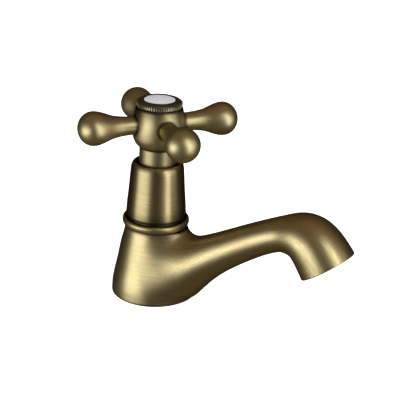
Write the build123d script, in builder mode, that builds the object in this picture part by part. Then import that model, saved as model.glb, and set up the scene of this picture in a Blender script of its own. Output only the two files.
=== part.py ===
from build123d import *
from math import asin, cos, degrees, pi, radians, sin
import os

os.makedirs("parts", exist_ok=True)

# ---------------------------------------------------------------- dimensions, mm
# frame: origin on the deck in the middle of the foot, +Z up, +X along the spout
base_r = 21.75            # foot of the body
shoulder_z = 37.2         # where the trim ring sits
shoulder_r = 15.85
boss_r = 13.4             # threaded boss that takes the bonnet
boss_top_z = 45.0

chamber_r = 12.0          # water chamber round the headwork
seat_z = 19.5             # valve seat
chamber_top_z = 34.0
headwork_bore_r = 10.55   # G1/2 internal
inlet_r = 6.0
waterway_r = 4.5

# spout: centre x, centre z, radius, rise of the axis in degrees
spout_sections = [
    (8.20, 10.60, 12.70, 38.5),
    (17.04, 15.75, 14.00, 38.6),
    (25.13, 21.95, 12.48, 37.5),
    (33.33, 27.95, 10.80, 35.5),
    (41.68, 33.52, 9.61, 32.5),
    (50.71, 38.98, 8.87, 30.5),
    (59.93, 44.33, 8.36, 29.2),
    (68.83, 48.69, 8.47, 20.5),
    (76.89, 51.18, 10.10, 4.8),
    (88.93, 49.08, 13.30, -41.3),
    (96.72, 40.17, 13.55, -54.0),
]
junction_fillet = 3.4
mouth_x, mouth_z, mouth_rise = 96.72, 40.17, -54.0
nozzle_r = 10.8           # M21.5x1 for the hidden aerator
nozzle_depth = 9.0

tail_r = 10.4775          # G1/2 external
tail_bore_r = 6.5
tail_bottom_z = -55.0
tail_top_z = 14.0

ring_r = 16.95
ring_top_z = 41.9

bonnet_hole_r = 10.1
bonnet_top_z = 71.7

neck_r = 9.4
hub_bottom_z = 69.5
hub_top_z = 99.7
arm_z = 90.4
arm_first_deg = 52.4      # the arm seen on the right
arm_root_r = 4.35
arm_seat = 12.1           # distance of the arm's seat from the axis
knob_centre = 33.4
knob_r = 8.05
stud_r = 2.95

bezel_r = 11.5
bezel_root_r = 11.05
bezel_teeth = 44
bezel_top_z = 102.7
disc_r = 7.65

spindle_r = 4.0
spindle_bore_r = 4.05     # running fit, 0.05 radial
spindle_top_z = 86.0
spline_teeth = 20

clamp_top_z = -18.0       # under side of an 18 mm deck


def keep(builder, label):
    builder.part.label = label
    export_step(builder.part, "parts/" + label + ".step")


def star(teeth, outer, inner):
    """Corner points of a fine-toothed outline."""
    points = []
    for i in range(teeth):
        for step, r in ((0.0, inner), (0.30, outer), (0.70, outer)):
            a = 2 * pi * (i + step) / teeth
            points.append((r * cos(a), r * sin(a)))
    return points


def sector(inner, outer, a0, a1, steps=12):
    """Corner points of a ring sector, degrees."""
    outside = [
        (outer * cos(radians(a0 + (a1 - a0) * i / steps)), outer * sin(radians(a0 + (a1 - a0) * i / steps)))
        for i in range(steps + 1)
    ]
    inside = [
        (inner * cos(radians(a1 + (a0 - a1) * i / steps)), inner * sin(radians(a1 + (a0 - a1) * i / steps)))
        for i in range(steps + 1)
    ]
    return outside + inside


# ---------------------------------------------------------------- body casting
with BuildPart() as body_casting:
    with BuildSketch(Plane.XZ):
        with BuildLine():
            Line((0, 0), (base_r - 0.8, 0))
            ThreePointArc((base_r - 0.8, 0), (base_r - 0.234, 0.234), (base_r, 0.8))
            Spline(
                (base_r, 0.8), (21.2, 6.6), (19.5, 16.9), (17.7, 27.1), (16.12, 33.7), (shoulder_r, 36.2),
                tangents=((-0.02, 1), (-0.02, 1)),
            )
            Polyline(
                (shoulder_r, 36.2), (shoulder_r, shoulder_z), (boss_r, shoulder_z),
                (boss_r, boss_top_z), (0, boss_top_z), (0, 0),
            )
        make_face()
    revolve(axis=Axis.Z)
    for cx, cz, cr, rise in spout_sections:
        a = radians(rise)
        with BuildSketch(Plane(origin=(cx, 0, cz), x_dir=(-sin(a), 0, cos(a)), z_dir=(cos(a), 0, sin(a)))):
            Circle(cr)
    loft()
    crease = [
        e
        for e in body_casting.edges()
        if e.geom_type not in (GeomType.LINE, GeomType.CIRCLE)
        and e.bounding_box().max.X < 26
        and e.bounding_box().max.Z < shoulder_z - 1
        and e.bounding_box().size.Y > 5
    ]
    fillet(crease, radius=junction_fillet)
    # valve chamber, headwork thread, inlet, seat for the tail, gasket recess
    with BuildSketch(Plane.XY.offset(chamber_top_z)):
        Circle(headwork_bore_r)
    extrude(amount=boss_top_z - chamber_top_z, mode=Mode.SUBTRACT)
    with BuildSketch(Plane.XY.offset(seat_z)):
        Circle(chamber_r)
    extrude(amount=chamber_top_z - seat_z, mode=Mode.SUBTRACT)
    with BuildSketch(Plane.XY):
        Circle(inlet_r)
    extrude(amount=seat_z, mode=Mode.SUBTRACT)
    with BuildSketch(Plane.XY):
        Circle(10.55)
    extrude(amount=15.0, mode=Mode.SUBTRACT)
    with BuildSketch(Plane.XY):
        Circle(19.2)
        Circle(13.0, mode=Mode.SUBTRACT)
    extrude(amount=2.0, mode=Mode.SUBTRACT)
    # nozzle recess and waterway
    a = radians(mouth_rise)
    nozzle = Plane(origin=(mouth_x, 0, mouth_z), x_dir=(0, 1, 0), z_dir=(-cos(a), 0, -sin(a)))
    with BuildSketch(nozzle):
        Circle(nozzle_r)
    extrude(amount=nozzle_depth, mode=Mode.SUBTRACT)
    with BuildSketch(nozzle.offset(nozzle_depth)):
        Circle(7.8)
    extrude(amount=3.0, mode=Mode.SUBTRACT)
    with BuildLine(Plane.XZ) as water_line:
        Spline(
            (9.0, 24.5), (20.0, 24.0), (31.0, 26.8), (41.1, 33.2), (50.5, 38.9),
            (59.8, 44.2), (69.5, 48.7), (80.0, 51.0), (89.6, 49.8),
        )
    with BuildSketch(Plane(origin=water_line.line @ 0, z_dir=water_line.line % 0)):
        Circle(waterway_r)
    sweep(path=water_line.line, mode=Mode.SUBTRACT)
keep(body_casting, "body_casting")

# ---------------------------------------------------------------- trim ring
with BuildPart() as trim_ring:
    with BuildSketch(Plane.XZ):
        with BuildLine():
            Polyline((15.75, shoulder_z), (boss_r + 0.1, shoulder_z), (boss_r + 0.1, ring_top_z), (15.8, ring_top_z))
            ThreePointArc((15.8, ring_top_z), (ring_r, 39.6), (15.75, shoulder_z))
        make_face()
    revolve(axis=Axis.Z)
keep(trim_ring, "trim_ring")

# ---------------------------------------------------------------- bonnet
with BuildPart() as bonnet:
    with BuildSketch(Plane.XZ):
        with BuildLine():
            Polyline((boss_r + 0.06, ring_top_z), (15.05, ring_top_z), (15.35, 42.2))
            Spline((15.35, 42.2), (14.75, 50.6), (14.17, 57.0), (13.8, 62.0), (13.4, 67.2))
            ThreePointArc((13.4, 67.2), (12.45, 70.4), (11.0, bonnet_top_z))
            Polyline((11.0, bonnet_top_z), (10.4, bonnet_top_z), (bonnet_hole_r, 71.4), (bonnet_hole_r, 69.8), (11.1, 69.4))
            Spline((11.1, 69.4), (11.8, 66.5), (12.3, 60.0), (12.85, 51.0), (boss_r, 47.0))
            Polyline((boss_r, 47.0), (boss_r + 0.06, 46.8), (boss_r + 0.06, ring_top_z))
        make_face()
    revolve(axis=Axis.Z)
keep(bonnet, "bonnet")

# ---------------------------------------------------------------- handle hub
with BuildPart() as handle_hub:
    with BuildSketch(Plane.XZ):
        with BuildLine():
            Polyline((0, hub_bottom_z), (neck_r - 0.3, hub_bottom_z), (neck_r, hub_bottom_z + 0.3), (neck_r, 77.5))
            Spline(
                (neck_r, 77.5), (10.6, 79.2), (11.8, 80.9), (12.6, 82.6), (13.0, 85.0), (13.22, 89.5), (12.9, 94.5), (12.0, 98.9),
                tangents=((0.45, 1), (-0.35, 1)),
            )
            Polyline((12.0, 98.9), (11.4, hub_top_z), (0, hub_top_z), (0, hub_bottom_z))
        make_face()
    revolve(axis=Axis.Z)
    with BuildSketch(Plane.XY.offset(hub_bottom_z)):
        Circle(6.6)
    extrude(amount=2.5, mode=Mode.SUBTRACT)
    with BuildSketch(Plane.XY.offset(hub_bottom_z)):
        with BuildLine():
            Polyline(*star(spline_teeth, spindle_r + 0.08, spindle_r - 0.30), close=True)
        make_face()
    extrude(amount=spindle_top_z - hub_bottom_z, mode=Mode.SUBTRACT)
    with BuildSketch(Plane.XY.offset(spindle_top_z - 1)):
        Circle(2.75)
    extrude(amount=6, mode=Mode.SUBTRACT)
    with BuildSketch(Plane.XY.offset(89.5)):
        Circle(7.0)
    extrude(amount=12, mode=Mode.SUBTRACT)
    with BuildSketch(Plane.XY.offset(94.8)):
        Circle(8.55)
    extrude(amount=12, mode=Mode.SUBTRACT)
    for i in range(4):
        a = radians(arm_first_deg + 90 * i)
        radial = Plane(origin=(0, 0, arm_z), x_dir=(0, 0, 1), z_dir=(cos(a), sin(a), 0))
        with BuildSketch(radial.offset(arm_seat)):
            Circle(arm_root_r + 0.05)
        extrude(amount=3, mode=Mode.SUBTRACT)
        with BuildSketch(radial.offset(8.5)):
            Circle(stud_r + 0.05)
        extrude(amount=5, mode=Mode.SUBTRACT)
keep(handle_hub, "handle_hub")


# ---------------------------------------------------------------- four turned arms
def turned_arm(angle_deg):
    a = radians(angle_deg)
    side = Plane(origin=(0, 0, arm_z), x_dir=(cos(a), sin(a), 0), z_dir=(sin(a), -cos(a), 0))
    with BuildPart() as arm:
        with BuildSketch(side):
            with BuildLine():
                Polyline((8.7, 0), (8.7, stud_r - 0.4), (9.1, stud_r), (arm_seat, stud_r), (arm_seat, arm_root_r))
                Spline(
                    (arm_seat, arm_root_r), (17.0, 4.56), (20.6, 4.90), (24.2, 5.57), (28.7, 7.16), (knob_centre, knob_r),
                    tangents=((1, 0.02), (1, 0)),
                )
                ThreePointArc(
                    (knob_centre, knob_r),
                    (knob_centre + knob_r * cos(pi / 4), knob_r * sin(pi / 4)),
                    (knob_centre + knob_r, 0),
                )
                Line((knob_centre + knob_r, 0), (8.7, 0))
            make_face()
        revolve(axis=Axis((0, 0, arm_z), (cos(a), sin(a), 0)))
    return arm


arm_right = turned_arm(arm_first_deg)
keep(arm_right, "arm_right")
arm_back = turned_arm(arm_first_deg + 90)
keep(arm_back, "arm_back")
arm_left = turned_arm(arm_first_deg + 180)
keep(arm_left, "arm_left")
arm_front = turned_arm(arm_first_deg + 270)
keep(arm_front, "arm_front")

# ---------------------------------------------------------------- index bezel and disc
with BuildPart() as index_bezel:
    with BuildSketch(Plane.XZ):
        with BuildLine():
            Polyline(
                (6.4, 95.0), (8.5, 95.0), (8.5, hub_top_z), (bezel_root_r, hub_top_z), (bezel_root_r, 102.1),
                (10.5, bezel_top_z), (disc_r + 0.1, bezel_top_z), (disc_r + 0.1, 100.4), (6.4, 100.4), close=True,
            )
        make_face()
    revolve(axis=Axis.Z)
    with BuildSketch(Plane.XY.offset(99.9)):
        with BuildLine():
            Polyline(*star(bezel_teeth, bezel_r, bezel_root_r - 0.02), close=True)
        make_face()
        Circle(10.0, mode=Mode.SUBTRACT)
    extrude(amount=2.1)
keep(index_bezel, "index_bezel")

disc_top_z = 102.75
dome_r = ((disc_r - 0.25) ** 2 + (disc_top_z - 102.4) ** 2) / (2 * (disc_top_z - 102.4))
dome_deg = degrees(asin((disc_r - 0.25) / dome_r))
with BuildPart() as index_disc:
    with BuildSketch(Plane.XZ):
        with BuildLine():
            Polyline((0, disc_top_z), (0, 100.4), (disc_r, 100.4), (disc_r, 102.1), (disc_r - 0.25, 102.4))
            CenterArc((0, disc_top_z - dome_r), dome_r, 90 - dome_deg, dome_deg)
        make_face()
    revolve(axis=Axis.Z)
keep(index_disc, "index_disc")

# ---------------------------------------------------------------- handle screw
with BuildPart() as handle_screw:
    with BuildSketch(Plane.XY.offset(89.5)):
        Circle(4.6)
    extrude(amount=2.8)
    fillet(handle_screw.edges().group_by(Axis.Z)[-1], radius=0.8)
    with BuildSketch(Plane.XY.offset(76.0)):
        Circle(2.45)
    extrude(amount=13.5)
    with BuildSketch(Plane.XY.offset(92.3)):
        RegularPolygon(radius=1.52, side_count=6, major_radius=False)
    extrude(amount=-1.8, mode=Mode.SUBTRACT)
keep(handle_screw, "handle_screw")

# ---------------------------------------------------------------- valve headwork
with BuildPart() as valve_headwork:
    with BuildSketch(Plane.XZ):
        with BuildLine():
            Polyline(
                (0, 20.5), (9.3, 20.5), (9.3, 35.4), (10.0, 35.4), (10.4775, 36.0), (10.4775, 46.0), (12.4, 46.0),
                (12.4, 47.6), (9.0, 47.6), (9.0, 53.5), (7.4, 53.5), (7.4, 65.4), (6.8, 66.0), (0, 66.0), close=True,
            )
        make_face()
    revolve(axis=Axis.Z)
    with BuildSketch(Plane.XY.offset(47.6)):
        RegularPolygon(radius=10.0, side_count=6, major_radius=False)
    extrude(amount=5.9)
    with BuildSketch(Plane.XY.offset(20.5)):
        Circle(7.4)
    extrude(amount=15.5, mode=Mode.SUBTRACT)
    with BuildSketch(Plane.XY.offset(36.0)):
        Circle(spindle_bore_r)
    extrude(amount=30.0, mode=Mode.SUBTRACT)
    # two outlet windows, two keyways for the fixed disc
    with BuildSketch(Plane.XY.offset(28.2)):
        Rectangle(9.0, 24.0)
    extrude(amount=4.6, mode=Mode.SUBTRACT)
    with BuildSketch(Plane.XY.offset(20.5)):
        Rectangle(24.0, 3.2)
    extrude(amount=7.5, mode=Mode.SUBTRACT)
    # quarter-turn stop
    with BuildSketch(Plane.XY.offset(33.3)):
        with BuildLine():
            Polyline(*sector(6.5, 7.6, 123, 327), close=True)
        make_face()
    extrude(amount=1.4)
keep(valve_headwork, "valve_headwork")

# ---------------------------------------------------------------- spindle
with BuildPart() as valve_spindle:
    with BuildSketch(Plane.XZ):
        with BuildLine():
            Polyline(
                (0, 31.5), (6.2, 31.5), (6.2, 34.9), (spindle_r, 34.9), (spindle_r, 50.3), (2.9, 50.3), (2.9, 51.7),
                (spindle_r, 51.7), (spindle_r, 55.3), (2.9, 55.3), (2.9, 56.7), (spindle_r, 56.7), (spindle_r, 66.25),
                (3.2, 66.25), (3.2, 67.15), (spindle_r, 67.15), (spindle_r, 71.0), (3.55, 71.6), (3.55, spindle_top_z),
                (0, spindle_top_z), close=True,
            )
        make_face()
    revolve(axis=Axis.Z)
    with BuildSketch(Plane.XY.offset(71.8)):
        with BuildLine():
            Polyline(*star(spline_teeth, spindle_r - 0.04, spindle_r - 0.42), close=True)
        make_face()
    extrude(amount=spindle_top_z - 71.8)
    # drive tongue and stop lug
    with BuildSketch(Plane.XY.offset(30.2)):
        Rectangle(11.4, 2.8)
    extrude(amount=1.6)
    with BuildSketch(Plane.XY.offset(33.4)):
        with BuildLine():
            Polyline(*sector(5.5, 7.15, -30, 30), close=True)
        make_face()
    extrude(amount=1.2)
    with BuildSketch(Plane.XY.offset(spindle_top_z)):
        Circle(2.5)
    extrude(amount=-11.0, mode=Mode.SUBTRACT)
keep(valve_spindle, "valve_spindle")

with BuildPart() as spindle_clip:
    with BuildSketch(Plane.XY.offset(66.3)):
        Circle(6.0)
        Circle(3.25, mode=Mode.SUBTRACT)
        with BuildLine():
            Polyline(*sector(1.0, 8.0, -28, 28), close=True)
        make_face(mode=Mode.SUBTRACT)
    extrude(amount=0.8)
keep(spindle_clip, "spindle_clip")

with BuildPart() as spindle_orings:
    for z in (51.0, 56.0):
        with BuildSketch(Plane.XZ):
            with Locations((3.47, z)):
                Circle(0.55)
        revolve(axis=Axis.Z)
keep(spindle_orings, "spindle_orings")

with BuildPart() as thrust_washer:
    with BuildSketch(Plane.XY.offset(35.0)):
        Circle(7.2)
        Circle(4.3, mode=Mode.SUBTRACT)
    extrude(amount=1.0)
keep(thrust_washer, "thrust_washer")

# ---------------------------------------------------------------- ceramic discs and seals
with BuildPart() as moving_disc:
    with BuildSketch(Plane.XY.offset(28.05)):
        Circle(7.15)
        for a0 in (-40, 140):
            with BuildLine():
                Polyline(*sector(2.2, 9.0, a0, a0 + 80), close=True)
            make_face(mode=Mode.SUBTRACT)
    extrude(amount=3.45)
    with BuildSketch(Plane.XY.offset(31.5)):
        Rectangle(20, 3.0)
    extrude(amount=-1.4, mode=Mode.SUBTRACT)
keep(moving_disc, "moving_disc")

with BuildPart() as fixed_disc:
    with BuildSketch(Plane.XY.offset(24.6)):
        Circle(7.3)
        Rectangle(17.0, 3.0)
        for a0 in (52, 232):
            with BuildLine():
                Polyline(*sector(2.4, 6.0, a0, a0 + 76), close=True)
            make_face(mode=Mode.SUBTRACT)
    extrude(amount=3.35)
keep(fixed_disc, "fixed_disc")

with BuildPart() as lip_seal:
    with BuildSketch(Plane.XZ):
        with BuildLine():
            Polyline(
                (6.2, seat_z), (7.2, seat_z), (7.2, 20.3), (7.0, 20.6), (7.0, 23.8), (7.25, 24.6), (6.1, 24.6), (6.2, 23.0),
                close=True,
            )
        make_face()
    revolve(axis=Axis.Z)
keep(lip_seal, "lip_seal")

with BuildPart() as headwork_washer:
    with BuildSketch(Plane.XY.offset(boss_top_z)):
        Circle(12.4)
        Circle(10.7, mode=Mode.SUBTRACT)
    extrude(amount=1.0)
keep(headwork_washer, "headwork_washer")

# ---------------------------------------------------------------- aerator, drawn from the mouth inwards
with BuildPart() as aerator_housing:
    with BuildSketch(nozzle.offset(1.0)):
        Circle(10.7)
        Circle(8.0, mode=Mode.SUBTRACT)
    extrude(amount=7.2)
    with BuildSketch(nozzle.offset(2.2)):
        Circle(9.0)
    extrude(amount=7.0, mode=Mode.SUBTRACT)
    for turn in (0, 45, 90, 135):
        b = radians(turn)
        with BuildSketch(Plane(origin=nozzle.origin, x_dir=nozzle.x_dir * cos(b) + nozzle.y_dir * sin(b), z_dir=nozzle.z_dir).offset(0.9)):
            Rectangle(30, 1.5)
            Circle(8.8, mode=Mode.SUBTRACT)
        extrude(amount=0.9, mode=Mode.SUBTRACT)
keep(aerator_housing, "aerator_housing")

with BuildPart() as aerator_mesh:
    with BuildSketch(nozzle.offset(2.2)):
        Circle(8.9)
        with HexLocations(0.95, 11, 11) as cells:
            spots = [c for c in cells.local_locations if c.position.length < 7.3]
        with Locations(*spots):
            RegularPolygon(radius=0.80, side_count=6, mode=Mode.SUBTRACT)
    extrude(amount=0.6)
keep(aerator_mesh, "aerator_mesh")

with BuildPart() as aerator_insert:
    with BuildSketch(nozzle.offset(2.8)):
        Circle(8.9)
        Circle(7.8, mode=Mode.SUBTRACT)
    extrude(amount=5.4)
    with BuildSketch(nozzle.offset(5.6)):
        Circle(8.2)
        for ring, count in ((2.8, 8), (4.8, 12), (6.7, 18)):
            with PolarLocations(ring, count):
                Circle(0.5, mode=Mode.SUBTRACT)
    extrude(amount=1.4)
keep(aerator_insert, "aerator_insert")

with BuildPart() as aerator_seal:
    with BuildSketch(nozzle.offset(8.2)):
        Circle(10.6)
        Circle(8.0, mode=Mode.SUBTRACT)
    extrude(amount=0.8)
keep(aerator_seal, "aerator_seal")

# ---------------------------------------------------------------- tail and deck fixing
with BuildPart() as inlet_tail:
    with BuildSketch(Plane.XY.offset(tail_bottom_z)):
        Circle(tail_r)
        Circle(tail_bore_r, mode=Mode.SUBTRACT)
    extrude(amount=tail_top_z - tail_bottom_z)
    ends = inlet_tail.edges().filter_by(GeomType.CIRCLE).filter_by(lambda e: abs(e.radius - tail_r) < 0.01)
    chamfer(ends, length=0.8)
    # relief between the backnut's thread and the supply end
    with BuildSketch(Plane.XY.offset(-41.0)):
        Circle(tail_r + 1)
        Circle(tail_r - 1.2, mode=Mode.SUBTRACT)
    extrude(amount=2.0, mode=Mode.SUBTRACT)
keep(inlet_tail, "inlet_tail")

with BuildPart() as tail_washer:
    with BuildSketch(Plane.XY.offset(tail_top_z)):
        Circle(10.3)
        Circle(7.0, mode=Mode.SUBTRACT)
    extrude(amount=1.0)
keep(tail_washer, "tail_washer")

with BuildPart() as deck_gasket:
    with BuildSketch(Plane.XY):
        Circle(19.0)
        Circle(13.2, mode=Mode.SUBTRACT)
    extrude(amount=2.0)
keep(deck_gasket, "deck_gasket")

with BuildPart() as clamp_rubber:
    with BuildSketch(Plane.XY.offset(clamp_top_z)):
        Circle(20.0)
        Circle(10.8, mode=Mode.SUBTRACT)
    extrude(amount=-3.0)
keep(clamp_rubber, "clamp_rubber")

with BuildPart() as clamp_washer:
    with BuildSketch(Plane.XY.offset(clamp_top_z - 3.0)):
        Circle(20.0)
        Circle(10.8, mode=Mode.SUBTRACT)
    extrude(amount=-1.5)
    outline = clamp_washer.edges().filter_by(GeomType.CIRCLE).filter_by(lambda e: abs(e.radius - 20.0) < 0.01)
    fillet(outline, radius=0.4)
keep(clamp_washer, "clamp_washer")

with BuildPart() as backnut:
    with BuildSketch(Plane.XY.offset(clamp_top_z - 4.5)):
        Circle(17.6)
    extrude(amount=-2.0)
    with BuildSketch(Plane.XY.offset(clamp_top_z - 6.5)):
        RegularPolygon(radius=15.0, side_count=6, major_radius=False)
    extrude(amount=-7.0)
    with BuildSketch(Plane.XY.offset(clamp_top_z)):
        Circle(tail_r + 0.09)
    extrude(amount=-20.0, mode=Mode.SUBTRACT)
keep(backnut, "backnut")
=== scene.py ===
import math
import bmesh
import bpy
import numpy as np
from mathutils import Matrix, Vector


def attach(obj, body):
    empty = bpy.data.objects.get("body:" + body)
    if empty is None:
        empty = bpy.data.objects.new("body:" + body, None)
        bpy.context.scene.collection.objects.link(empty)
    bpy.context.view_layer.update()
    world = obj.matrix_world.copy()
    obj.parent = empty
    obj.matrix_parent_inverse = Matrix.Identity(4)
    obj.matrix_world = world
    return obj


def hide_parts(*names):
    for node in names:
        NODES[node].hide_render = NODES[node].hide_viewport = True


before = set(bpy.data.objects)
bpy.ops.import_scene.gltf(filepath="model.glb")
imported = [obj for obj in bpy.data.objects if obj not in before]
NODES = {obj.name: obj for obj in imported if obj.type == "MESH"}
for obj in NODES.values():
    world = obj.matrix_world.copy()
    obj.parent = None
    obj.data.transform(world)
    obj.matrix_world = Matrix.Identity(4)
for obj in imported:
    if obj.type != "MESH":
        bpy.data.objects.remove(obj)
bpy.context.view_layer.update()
MM = 0.001                      # shapes below are worked out in millimetres


# ------------------------------------------------------------------ curves and outlines
def spline(x, y, d0=None, d1=None):
    """Cubic spline y(x); natural ends, or the end slopes d0 and d1. Gives value and slope."""
    x, y = np.asarray(x, float), np.asarray(y, float)
    n, h = len(x), np.diff(x)
    A, b = np.zeros((n, n)), np.zeros(n)
    for i in range(1, n - 1):
        A[i, i - 1], A[i, i], A[i, i + 1] = h[i - 1], 2 * (h[i - 1] + h[i]), h[i]
        b[i] = 6 * ((y[i + 1] - y[i]) / h[i] - (y[i] - y[i - 1]) / h[i - 1])
    A[0, 0] = A[-1, -1] = 1
    if d0 is not None:
        A[0, 0], A[0, 1], b[0] = 2 * h[0], h[0], 6 * ((y[1] - y[0]) / h[0] - d0)
    if d1 is not None:
        A[-1, -1], A[-1, -2], b[-1] = 2 * h[-1], h[-1], 6 * (d1 - (y[-1] - y[-2]) / h[-1])
    m = np.linalg.solve(A, b)

    def f(t):
        t = np.asarray(t, float)
        k = np.clip(np.searchsorted(x, t) - 1, 0, n - 2)
        u0, u1, hk = x[k + 1] - t, t - x[k], h[k]
        v = (m[k] * u0**3 + m[k + 1] * u1**3) / (6 * hk) + (y[k] / hk - m[k] * hk / 6) * u0 + (y[k + 1] / hk - m[k + 1] * hk / 6) * u1
        s = (m[k + 1] * u1**2 - m[k] * u0**2) / (2 * hk) + (y[k + 1] - y[k]) / hk - (m[k + 1] - m[k]) * hk / 6
        return v, s

    return f


def flow(points, count, start=None, end=None):
    """Evenly sampled smooth curve through (r, z) points, with optional end directions."""
    p = np.asarray(points, float)
    t = np.concatenate([[0], np.cumsum(np.hypot(*np.diff(p, axis=0).T))])
    ends = [None if d is None else np.asarray(d, float) / np.hypot(*d) for d in (start, end)]
    f = [spline(t, p[:, i], *[None if d is None else d[i] for d in ends]) for i in (0, 1)]
    s = np.linspace(0, t[-1], count)
    return [tuple(q) for q in np.stack([f[0](s)[0], f[1](s)[0]], 1)]


def arc(cx, cz, r, a0, a1, count):
    a = np.radians(np.linspace(a0, a1, count))
    return [(cx + r * math.cos(t), cz + r * math.sin(t)) for t in a]


def rounded(points, radius, steps=5):
    """Closed outline with each corner rounded; radius is one number or one per corner."""
    out, n = [], len(points)
    radii = [radius] * n if np.isscalar(radius) else list(radius)
    for i in range(n):
        p0, p1, p2 = (np.asarray(points[(i + k) % n], float) for k in (-1, 0, 1))
        r = radii[i]
        if r <= 0:
            out.append(tuple(p1))
            continue
        a, b = (p0 - p1) / np.linalg.norm(p0 - p1), (p2 - p1) / np.linalg.norm(p2 - p1)
        half = math.acos(max(-1, min(1, float(a @ b)))) / 2
        reach = r / math.tan(half)
        mid = (a + b) / np.linalg.norm(a + b)
        c = p1 + mid * r / math.sin(half)
        q0, q1 = p1 + a * reach - c, p1 + b * reach - c
        w0, w1 = math.atan2(q0[1], q0[0]), math.atan2(q1[1], q1[0])
        w1 = w0 + (w1 - w0 + math.pi) % (2 * math.pi) - math.pi
        out += [(c[0] + r * math.cos(w), c[1] + r * math.sin(w)) for w in np.linspace(w0, w1, steps)]
    return out


# ------------------------------------------------------------------ meshes
def new_object(name, verts_mm, faces, lay=None, sharp=32.0, fix=True):
    """A smooth-shaded mesh object; lay is each vertex's place in its piece's own turning frame, mm."""
    me = bpy.data.meshes.new(name)
    me.from_pydata([tuple(v) for v in np.asarray(verts_mm, float) * MM], [], [tuple(int(i) for i in f) for f in faces])
    me.validate()
    if fix:
        bm = bmesh.new()
        bm.from_mesh(me)
        bmesh.ops.recalc_face_normals(bm, faces=bm.faces)
        bm.to_mesh(me)
        bm.free()
    finish_mesh(me, lay if lay is not None else np.asarray(verts_mm, float), sharp)
    ob = bpy.data.objects.new(name, me)
    bpy.context.scene.collection.objects.link(ob)
    return ob


def finish_mesh(me, lay, sharp):
    me.polygons.foreach_set("use_smooth", [True] * len(me.polygons))
    me.set_sharp_from_angle(angle=math.radians(sharp))
    at = me.attributes.new("lay", "FLOAT_VECTOR", "POINT")
    at.data.foreach_set("vector", np.asarray(lay, np.float32).ravel())
    me.update()


def mark(ob, name, values):
    at = ob.data.attributes.new(name, "FLOAT", "POINT")
    at.data.foreach_set("value", np.asarray(values, np.float32))


def fade(v, a, b):
    """0 at a rising smoothly to 1 at b."""
    u = np.clip((np.asarray(v, float) - a) / (b - a), 0, 1)
    return u * u * (3 - 2 * u)


def turned(name, outline, n=128, axis=None, at=(0, 0, 0), closed=True, shape=None, sharp=32.0, painted_shade=None):
    """A turned piece. outline is (r, z); points with r = 0 become single poles.
    axis gives the turning axis; shape(r, z, angle) may reshape each ring; the last argument gives painted shade, dark
    colour laid into its corners and under its neighbours where shade falls, 0 to 1, from places in its own turning
    frame."""
    ang = 2 * np.pi * np.arange(n) / n
    verts, rings = [], []
    for r, z in outline:
        if r < 1e-6:
            rings.append([len(verts)])
            verts.append((0.0, 0.0, z))
        else:
            rr, zz = (np.full(n, r), np.full(n, z)) if shape is None else shape(r, z, ang)
            rings.append(list(range(len(verts), len(verts) + n)))
            verts += list(zip(rr * np.cos(ang), rr * np.sin(ang), zz))
    faces = []
    pairs = list(zip(rings[:-1], rings[1:])) + ([(rings[-1], rings[0])] if closed else [])
    for a, b in pairs:
        for i in range(n):
            j = (i + 1) % n
            if len(a) == 1 and len(b) == 1:
                break
            if len(a) == 1:
                faces.append((a[0], b[j], b[i]))
            elif len(b) == 1:
                faces.append((a[i], a[j], b[0]))
            else:
                faces.append((a[i], a[j], b[j], b[i]))
    local = np.array(verts)
    if axis is None:
        world = local + np.array(at)
    else:
        w = np.array(axis, float) / np.linalg.norm(axis)
        u = np.cross((0, 0, 1.0), w)
        u /= np.linalg.norm(u)
        v = np.cross(w, u)
        world = local @ np.stack([u, v, w]) + np.array(at)
    ob = new_object(name, world, faces, local, sharp)
    if painted_shade is not None:
        mark(ob, "painted_shade", painted_shade(local))
    return ob


def put(ob, mat):
    ob.data.materials.clear()
    ob.data.materials.append(mat)
    return ob


def piece(ob, body, node, mat):
    put(ob, mat)
    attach(ob, body)
    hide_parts(node)
    return ob


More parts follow.
